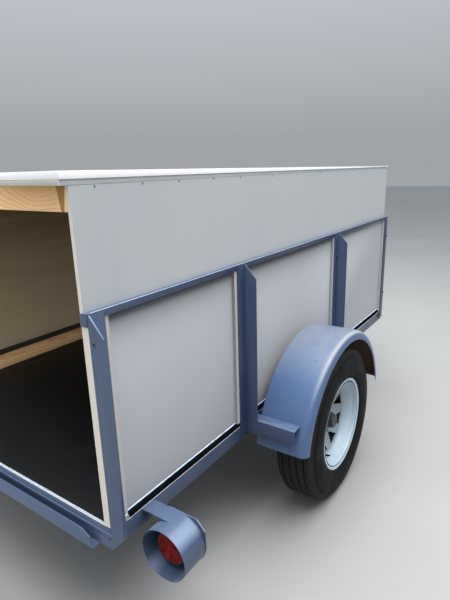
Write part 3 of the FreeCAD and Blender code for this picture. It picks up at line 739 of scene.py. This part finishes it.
rimLook = {"front": [(76, 190), (76, 205), (76.6, 207.2), (78.2, 208), (79.6, 207.2), (80, 205),
                     (79, 200), (76.5, 196), (75, 192), (74, 189), (71, 187.2), (64, 186.4),
                     (58, 186.2), (55, 185), (50, 180.6), (40, 174.5), (28, 169.4), (20, 166),
                     (16.5, 163), (14, 158), (10, 148), (2, 126), (-3.5, 111), (-6, 105),
                     (-6.8, 98), (-7.2, 88), (-5.2, 80), (-4.6, 74), (-6.6, 69), (-8, 66),
                     (-8, 46), (-7, 41), (-8, 37.5)],
           "back": [(-12, 37.5), (-12, 104), (6, 158), (6, 164), (-20, 164), (-72, 184),
                    (-80, 190), (-80, 207), (-78.2, 208), (-76, 206), (-76, 190)],
           "steps": 160, "windows": 9, "turn": 17, "low": 106, "high": 151, "lowHalf": 4,
           "highHalf": 32, "corner": 5, "cut": (-40, 60), "cutReach": 165}


def roundedCorners(points, radius, count=4):
    # replaces each corner of an outline by a short curve
    result = []
    for index, corner in enumerate(points):
        before = Vector(points[index - 1]) - Vector(corner)
        after = Vector(points[(index + 1) % len(points)]) - Vector(corner)
        first = Vector(corner) + before.normalized() * min(radius, before.length * 0.45)
        last = Vector(corner) + after.normalized() * min(radius, after.length * 0.45)
        for step in range(count + 1):
            share = step / count
            middle = Vector(corner) * 2 * share * (1 - share)
            result.append(first * (1 - share) ** 2 + middle + last * share ** 2)
    return result


def makeRim(side, way):
    centre = wheelCentre(way)
    profile = inMetres(rimLook["front"] + rimLook["back"], way)
    blank = pieceFrom("rimBlank", lathe(profile, centre, "X", rimLook["steps"]), [wheelPaint])
    window = roundedCorners([(-rimLook["lowHalf"], rimLook["low"]), (rimLook["lowHalf"], rimLook["low"]),
                             (rimLook["highHalf"], rimLook["high"]), (-rimLook["highHalf"], rimLook["high"])],
                            rimLook["corner"])
    bm = bmesh.new()
    for number in range(rimLook["windows"]):
        angle = math.radians(rimLook["turn"] + number * 360 / rimLook["windows"])
        ends = []
        for x in rimLook["cut"]:
            ring = [(x * way, up * math.cos(angle) - sideways * math.sin(angle),
                     up * math.sin(angle) + sideways * math.cos(angle)) for sideways, up in window]
            ends.append([bm.verts.new(Vector(centre) + Vector(corner) * mm) for corner in ring])
        addPrism(bm, *ends)
    bmesh.ops.recalc_face_normals(bm, faces=bm.faces)
    cutter = pieceFrom("rimCutter", bm, [wheelPaint])
    for thing in (blank, cutter):
        scene.collection.objects.link(thing)
    cut = blank.modifiers.new("windows", "BOOLEAN")
    cut.object = cutter
    cut.solver = "EXACT"
    mesh = bpy.data.meshes.new_from_object(blank.evaluated_get(bpy.context.evaluated_depsgraph_get()))
    mesh.name = "rim_" + side + "_dressed"
    for thing in (blank, cutter):
        bpy.data.objects.remove(thing)
    # painted shade: the rim's back and its window walls take the near-black finish
    mesh.materials.append(wheelInsideShade)
    for face in mesh.polygons:
        reach = math.hypot(face.center.y - centre[1], face.center.z - centre[2]) / mm
        cutWall = abs(face.normal.x) < 0.3 and reach < rimLook["cutReach"]
        face.material_index = 1 if cutWall or face.normal.x * way < -0.05 else 0
    mesh.shade_smooth()
    mesh.set_sharp_from_angle(angle=math.radians(28))
    place(bpy.data.objects.new(mesh.name, mesh), "wheel_" + side, "rim_paint", "rim_" + side)


hubLook = {"body": [(-87, 17), (-88, 20), (-88, 34), (-86, 36), (-24, 36), (-24, 69),
                    (-23, 70), (-12, 70), (-12, 36), (22, 36), (25.5, 35), (27, 33),
                    (27.4, 31), (38, 31), (41, 30), (42.6, 27.6), (43, 24), (43, 12),
                    (42, 10.5), (42, 0), (24, 0), (24, 17)],
           "steps": 64, "nutCircle": 57.2, "nuts": 5, "nutTurn": 53, "nutSeat": -8,
           "nut": (11, 15), "stud": (6, 22), "valveTurn": -107, "valveRadius": 166,
           "valveSeat": 10, "valveLean": 0.25, "valveFoot": (7.5, 8), "valveStem": (4.5, 34)}


def makeHub(side, way):
    centre = wheelCentre(way)
    body = lathe(inMetres(hubLook["body"], way), centre, "X", hubLook["steps"])
    standIn("hub_" + side, body, [hubMetal])
    bm = bmesh.new()
    for number in range(hubLook["nuts"]):
        angle = math.radians(hubLook["nutTurn"] + number * 360 / hubLook["nuts"])
        seat = turnedPoint("X", centre, hubLook["nutSeat"] * mm * way, hubLook["nutCircle"] * mm, angle)
        addPlug(bm, seat, (way, 0, 0), *hubLook["nut"], 6, 0.85)
        addPlug(bm, seat, (way, 0, 0), *hubLook["stud"], 12)
    place(pieceFrom("lug_nuts_" + side, bm, [nutMetal]), "wheel_" + side, "zinc_steel")
    bm = bmesh.new()
    angle = math.radians(hubLook["valveTurn"])
    foot = turnedPoint("X", centre, hubLook["valveSeat"] * mm * way, hubLook["valveRadius"] * mm, angle)
    tip = -hubLook["valveLean"]
    lean = Vector((way, tip * math.cos(angle), tip * math.sin(angle))).normalized()
    addPlug(bm, foot, lean, *hubLook["valveFoot"], 16)
    addPlug(bm, foot, lean, *hubLook["valveStem"], 12)
    place(pieceFrom("valve_stem_" + side, bm, [tyreRubber]), "wheel_" + side, "tyre")


# Fender: thin skin with a rolled outer edge, painted outside and rusty below
fenderLow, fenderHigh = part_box("fender_right")
fenderLook = {"radius": 439, "skin": 2, "roll": 30, "lip": 10, "rollSteps": 12, "steps": 120}


def makeFender(side, way):
    radius, skin, roll = fenderLook["radius"], fenderLook["skin"], fenderLook["roll"]
    outer, inner = fenderHigh[0] / mm, fenderLow[0] / mm
    corner = (outer - roll, radius - roll)
    curve = arcPoints(corner, roll, 90, 0, fenderLook["rollSteps"])
    under = arcPoints(corner, roll - skin, 0, 90, fenderLook["rollSteps"])
    low = radius - roll - fenderLook["lip"]
    outside = [(inner, radius - 0.3)] + curve + [(outer, low + 0.4), (outer - 0.5, low)]
    inside = [(outer - skin + 0.3, low)] + under + [(inner, radius - skin)]
    middle = (0, (fenderLow[1] + fenderHigh[1]) / 2, fenderHigh[2] - radius * mm)
    reach = (fenderHigh[1] - fenderLow[1]) / 2 / mm
    cut = math.degrees(math.acos(reach / radius))
    bm = lathe(inMetres(outside + inside, way), middle, "X", fenderLook["steps"], (cut, 180 - cut))
    for face in bm.faces:
        away = face.calc_center_median() - Vector(middle)
        away.x = 0
        below = face.normal.dot(away.normalized()) < -0.35 or face.normal.x * way < -0.6
        face.material_index = 1 if below else 0
    standIn("fender_" + side, bm, [fenderPaint, rustySteel])


# Lamps: thin round hood, its back plate and arm, and the ridged lens inside
hoodLow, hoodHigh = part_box("lamp_hood_right")
hoodLook = {"radius": 80, "skin": 2, "plate": 4, "proud": 1.5, "corner": 30, "lip": 0.6, "arm": 5,
            "armWide": 51, "steps": 96}


def makeHood(side, way):
    x, z = way * lampLook["x"], lampLook["z"]
    mouth, back = hoodLow[1], hoodHigh[1] - hoodLook["plate"] * mm
    radius, inner = hoodLook["radius"] * mm, (hoodLook["radius"] - hoodLook["skin"]) * mm
    lip = hoodLook["lip"] * mm
    profile = [(mouth, inner + lip), (mouth + lip, inner), (back, inner), (back, radius),
               (mouth + lip, radius), (mouth, radius - lip)]
    bm = lathe(profile, (x, 0, z), "Y", hoodLook["steps"])
    edge, corner = radius + hoodLook["proud"] * mm, hoodLook["corner"] * mm
    top = z + radius
    outline = [(-edge, top - corner), (-edge + corner, top), (edge - corner, top), (edge, top - corner)]
    outline = [(x + a, b) for a, b in outline]
    outline += arcPoints((x, z), edge, 0, -180, 24)
    addPrism(bm, *([bm.verts.new((a, y, b)) for a, b in outline] for y in (back, hoodHigh[1])))
    addBox(bm, (way * hoodLow[0], back - hoodLook["armWide"] * mm, top - hoodLook["arm"] * mm),
           (x, back, top))
    bmesh.ops.recalc_face_normals(bm, faces=bm.faces)
    standIn("lamp_hood_" + side, bm, [hoodPaintWithPaintedLight], 30)


def makeLensPiece(side, way):
    # low round ridges inside a raised rim; depths are behind the rim, reaches are shares of the radius
    lens, face = lampLook["lens"], lensLow[1]
    crest, valley = face + 1.2 * mm, face + 2.2 * mm
    profile = [(crest, 0)]
    for ring in range(lampLook["rings"]):
        reach = lens * (0.12 + 0.09 * ring)
        profile += [(valley, reach), (crest, reach + lens * 0.045)]
    profile += [(crest, lens * 0.93), (face, lens * 0.95), (face, lens * 0.985), (face + 1.5 * mm, lens),
                (lensHigh[1], lens), (lensHigh[1], 0)]
    bm = lathe(profile, (way * lampLook["x"], 0, lampLook["z"]), "Y", lampLook["steps"])
    for facet in bm.faces:
        away = facet.calc_center_median()
        reach = math.hypot(away.x - way * lampLook["x"], away.z - lampLook["z"])
        facet.material_index = 1 if reach > lens * 0.94 else 0
    standIn("lamp_lens_" + side, bm, [lensRed, darkRubberAndShade], 20)


# Roof: a white layer over a grey one, both thinning out to the front, with a joint between that a black
# filler inside makes dark, painted shade
roofLook = {"overhang": 3, "lower": (14, 6), "upper": (19, 5), "joint": 0.4, "filler": 6,
            "edge": 0.4}


def addWedge(bm, half, runs, low, high, finishes):
    # block between two sloping faces; low and high are heights at its rear and front ends
    verts = [bm.verts.new((x, runs[end], height[end]))
             for x in (-half, half) for height in (low, high) for end in (0, 1)]
    made = []
    for ring, finish in (((0, 4, 6, 2), 1), ((1, 3, 7, 5), 0), ((0, 2, 3, 1), 0), ((4, 5, 7, 6), 0),
                         ((0, 1, 5, 4), 0), ((2, 6, 7, 3), 0)):
        face = bm.faces.new([verts[i] for i in ring])
        face.material_index = finishes[finish]
        made.append(face)
    bmesh.ops.recalc_face_normals(bm, faces=made)


def makeRoof():
    low, high = (Vector(corner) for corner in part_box("roof"))
    runs = (low.y, high.y)
    middle = [low.z + tall * mm for tall in roofLook["lower"]]
    top = [z + tall * mm for z, tall in zip(middle, roofLook["upper"])]
    joint = roofLook["joint"] * mm
    bm = bmesh.new()
    addWedge(bm, high.x, runs, [z + joint for z in middle], top, (0, 0))
    addWedge(bm, high.x - roofLook["overhang"] * mm, runs, [low.z + joint * 2] * 2,
             [z - joint for z in middle], (1, 3))
    softenEdges(bm, list(bm.edges), roofLook["edge"] * mm)
    # painted shade: the black filler inside makes the joints read dark
    inset = roofLook["filler"] * mm
    addWedge(bm, high.x - inset, (low.y + inset, high.y - inset), [low.z + 0.2 * mm] * 2,
             [z - 2 * mm for z in top], (2, 2))
    standIn("roof", bm, [roofPaint, upperPaint, darkRubberAndShade, roofEdge])


for side, way in sides.items():
    makeTyre(side, way)
    makeRim(side, way)
    makeHub(side, way)
    makeFender(side, way)
    makeHood(side, way)
    makeLensPiece(side, way)
makeRoof()
print("turned pieces made")


# Sealant along the foot of the walls and the edges of the floor
legEnds = [(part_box("post_" + name + "_right")[1][1] - rearFace) / mm
           for name in ("rear", "mid_rear", "mid_front", "front")]
wallLook = {"panelOut": -17, "battenOut": -5, "battenShow": 15, "legWide": 51}
legStarts = [end - wallLook["legWide"] for end in legEnds]      # rear edges of the posts' flat legs
railTop = (railHigh[2] - floorTop) / mm
fillerLook = {"tall": 18, "thick": 0.4, "back": 0.4}
sealLook = {"up": 1, "radius": 2.8, "ripple": 0.35, "pitch": 12, "shortRadius": 2.24,
            "battenRadius": 1.96, "underOut": -4.8, "underUp": -17.6, "underPast": 8, "underRadius": 1.54,
            "underRipple": 0.5}
# the floor strip is the black deck between panel and batten; the rail strip is a painted highlight along the
# top rail's outer edge; the sill strip is worn paint
stripLook = {"floor": (-0.2, 0.4), "railInner": -2.2, "railProud": 0.12, "railSink": -0.2, "railRear": 8,
             "railFront": 3, "sill": ((-8, 3.4, -7.2), (-8, 12.6, -6.8))}


def addFiller(bm, way, at, turnAt):
    # paint and filler on the floor's edge beside a batten, ending in a hollow round at the black strip
    half, back = fillerLook["tall"] / 2, fillerLook["back"]
    start = at - turnAt * half * back
    show = wallLook["battenShow"] + half * (1 - back)
    outline = [(show, -2 * half), (show, 0)] + arcPoints((half, -half), half, 90, 270, 12)
    rings = [[bm.verts.new(spot(way, wallLook["battenOut"] + out, start + turnAt * y, z)) for y, z in outline]
             for out in (0, fillerLook["thick"])]
    bmesh.ops.recalc_face_normals(bm, faces=addPrism(bm, *rings, 1))


def makeSealant():
    bm = bmesh.new()
    panel, batten, show = (wallLook[key] for key in ("panelOut", "battenOut", "battenShow"))
    up, pitch, radius, ripple = (sealLook[key] for key in ("up", "pitch", "radius", "ripple"))
    out, under, past = (sealLook["under" + key] for key in ("Out", "Up", "Past"))
    floorLow, floorHigh = stripLook["floor"]
    for way in sides.values():
        for end, start in zip(legEnds, legStarts[1:]):
            rear, front = end + show, start - show
            addBead(bm, way, (panel, rear, up), (panel, front, up), radius, ripple, pitch)
            for at, turnAt in ((rear, -1), (front, 1)):
                addBead(bm, way, (panel, at, up), (batten, at, up), sealLook["shortRadius"])
                addBead(bm, way, (batten, at, up), (batten, at + turnAt * show, up), sealLook["battenRadius"])
            addBead(bm, way, (out, rear - past, under), (out, front + past, under), sealLook["underRadius"],
                    sealLook["underRipple"], pitch, 1)
            for at, turnAt in ((rear, -1), (front, 1)):
                addFiller(bm, way, at, turnAt)
            addBox(bm, spot(way, panel, rear, floorLow), spot(way, batten, front, floorHigh), 3)
        # painted highlight: a pale strip along the top rail's outer top edge
        addBox(bm, spot(way, stripLook["railInner"], stripLook["railRear"], railTop + stripLook["railSink"]),
               spot(way, stripLook["railProud"], legEnds[3] - stripLook["railFront"],
                    railTop + stripLook["railProud"]), 2)
    addBox(bm, *(spot(way, *corner) for way, corner in zip((-1, 1), stripLook["sill"])), 2)
    piece = pieceFrom("sealant_beads_and_painted_highlight", bm, [sealant, lowerPaintWithPaintedShade, wornEdgeAndHighlight, edgeBlack], 60)
    place(piece, "chassis", "panel_paint")


# Fasteners seen on the posts and along the top of the walls
fastenerLook = {"postBolts": [(1, -24, 498), (1, -26, 103), (2, -24, 498), (2, -26, 103),
                              (3, -9, 493), (3, -9, 110)],
                "screwRow": [(74, 914), (236, 914.5), (384, 915), (556, 915), (714, 915),
                             (944, 912.5), (1152, 912), (1390, 914), (1610, 911),
                             (1840, 913), (2070, 912), (2300, 914)],
                "head": (8, 4.5), "screw": (3.2, 0.6), "recess": (1.6, 0.9)}


def makeFasteners():
    bolts = bmesh.new()
    screws = bmesh.new()
    for way in sides.values():
        for post, along, up in fastenerLook["postBolts"]:
            seat = spot(way, 0, legEnds[post] + along, up)
            addPlug(bolts, seat, (way, 0, 0), *fastenerLook["head"], 20, 0.6)
        for ahead, up in fastenerLook["screwRow"]:
            seat = spot(way, wallLook["panelOut"], ahead, up)
            addPlug(screws, seat, (way, 0, 0), *fastenerLook["screw"], 14, 0.7)
            # painted shade: a black disc on each screw head stands for its recess
            addPlug(screws, seat, (way, 0, 0), *fastenerLook["recess"], 4, 1, 1)
    place(pieceFrom("post_bolts", bolts, [steelPaint]), "chassis", "frame_paint")
    place(pieceFrom("wall_screws", screws, [screwMetalShaded, darkRubberAndShade]), "chassis", "zinc_steel")


# Weld beads at the main joints of the frame: at the posts' feet, by the rail's top and under the lamp arms
weldLook = {"footOut": -5.5, "footUp": -57, "footInset": 3, "footRadius": 3, "railFrom": 6,
            "railTo": 17, "railRadius": 1.6, "armOut": -4.4, "armUp": -23.4, "armInset": 4,
            "armRadius": 2.6}


def makeWelds():
    bm = bmesh.new()
    out, up, inset = (weldLook["foot" + key] for key in ("Out", "Up", "Inset"))
    high, low = (railTop - weldLook["rail" + key] for key in ("From", "To"))
    armOut, armUp, armInset = (weldLook["arm" + key] for key in ("Out", "Up", "Inset"))
    armEnd = (hoodHigh[1] - rearFace) / mm
    armStart = armEnd - hoodLook["plate"] - hoodLook["armWide"] + armInset
    for way in sides.values():
        for start, end in zip(legStarts, legEnds):
            addBead(bm, way, (out, start + inset, up), (out, end - inset, up), weldLook["footRadius"])
            for at in (start, end):
                if legEnds[0] <= at <= legStarts[3]:
                    addBead(bm, way, (0, at, high), (0, at, low), weldLook["railRadius"])
        addBead(bm, way, (armOut, armStart, armUp), (armOut, armEnd - armInset, armUp), weldLook["armRadius"])
    place(pieceFrom("weld_beads", bm, [steelPaint], 60), "chassis", "frame_paint")


makeSealant()
makeFasteners()
makeWelds()
print("trim made")


# Floor, light and camera
studio = {"floorTone": (0.30, 0.298, 0.29), "zenith": (0.88, 0.97, 1.08), "horizon": (0.355, 0.37, 0.385),
          "skyStrength": 1, "keyEnergy": 830, "keySize": 7, "keySpread": 180,
          "keyAt": (1.3, -0.8, 6), "keyAim": (0.2, 0.2, 0.6), "fillEnergy": 6, "fillSize": 1.2,
          "fillSpread": 60, "fillAt": (0.3, -4.2, 1.1), "fillAim": (-0.6, -0.6, 0.75)}


def makeFloor():
    material, tree, shader = newFinish("studioFloor", 0.8)
    clouds = spread(tree, speckle(tree, 1.2, 5), 0.35, 0.7)
    tone = studio["floorTone"]
    color = blendColor(tree, clouds, tone, tuple(v * 0.94 for v in tone))
    finishOff(tree, shader, color, None, [(speckle(tree, 120, 4), 0.1, 0.0008)])
    bm = bmesh.new()
    bmesh.ops.create_grid(bm, x_segments=2, y_segments=2, size=30)
    ground = pieceFrom("studioFloor", bm, [material])
    scene.collection.objects.link(ground)


def makeLight():
    # open sky, bright overhead and duller near the ground, a broad soft lamp above and a weak one behind
    world = bpy.data.worlds.new("studioSky")
    scene.world = world
    world.use_nodes = True
    tree = world.node_tree
    height = spread(tree, axisOf(tree, "Z", output="Generated"), 0.05, 0.9)
    color = blendColor(tree, height, studio["horizon"], studio["zenith"])
    sky = tree.nodes["Background"]
    join(tree, color, sky.inputs["Color"])
    sky.inputs["Strength"].default_value = studio["skyStrength"]
    for kind in ("key", "fill"):
        lamp = bpy.data.lights.new(kind + "Lamp", "AREA")
        lamp.energy = studio[kind + "Energy"]
        lamp.shape = "DISK"
        lamp.size = studio[kind + "Size"]
        lamp.spread = math.radians(studio[kind + "Spread"])
        holder = bpy.data.objects.new(kind + "Lamp", lamp)
        holder.location = studio[kind + "At"]
        aim = Vector(studio[kind + "Aim"]) - Vector(studio[kind + "At"])
        holder.rotation_euler = aim.to_track_quat("-Z", "Y").to_euler()
        scene.collection.objects.link(holder)


shot = {"right": 0.8914, "back": 0.6972, "height": 0.947, "yaw": 35.02, "pitch": 15.62, "roll": -1.71,
        "lens": 28.302}


def makeCamera():
    # stands off the rear right corner; right, back and height are from that corner of the floor
    yaw, pitch, roll = (math.radians(shot[key]) for key in ("yaw", "pitch", "roll"))
    look = Vector((-math.sin(yaw) * math.cos(pitch), math.cos(yaw) * math.cos(pitch), -math.sin(pitch)))
    level = Vector((math.cos(yaw), math.sin(yaw), 0))
    rise = level.cross(look)
    across = math.cos(roll) * level + math.sin(roll) * rise
    upward = math.cos(roll) * rise - math.sin(roll) * level
    data = bpy.data.cameras.new("camera")
    data.lens = shot["lens"]
    data.sensor_width = 36
    data.clip_end = 200
    camera = bpy.data.objects.new("camera", data)
    turn = Matrix((across, upward, -look)).transposed().to_4x4()
    eye = Vector((postFace + shot["right"], rearFace - shot["back"], floorTop + shot["height"]))
    camera.matrix_world = Matrix.Translation(eye) @ turn
    scene.collection.objects.link(camera)
    scene.camera = camera


makeFloor()
makeLight()
makeCamera()
scene.view_settings.view_transform = "Standard"
print("studio ready")
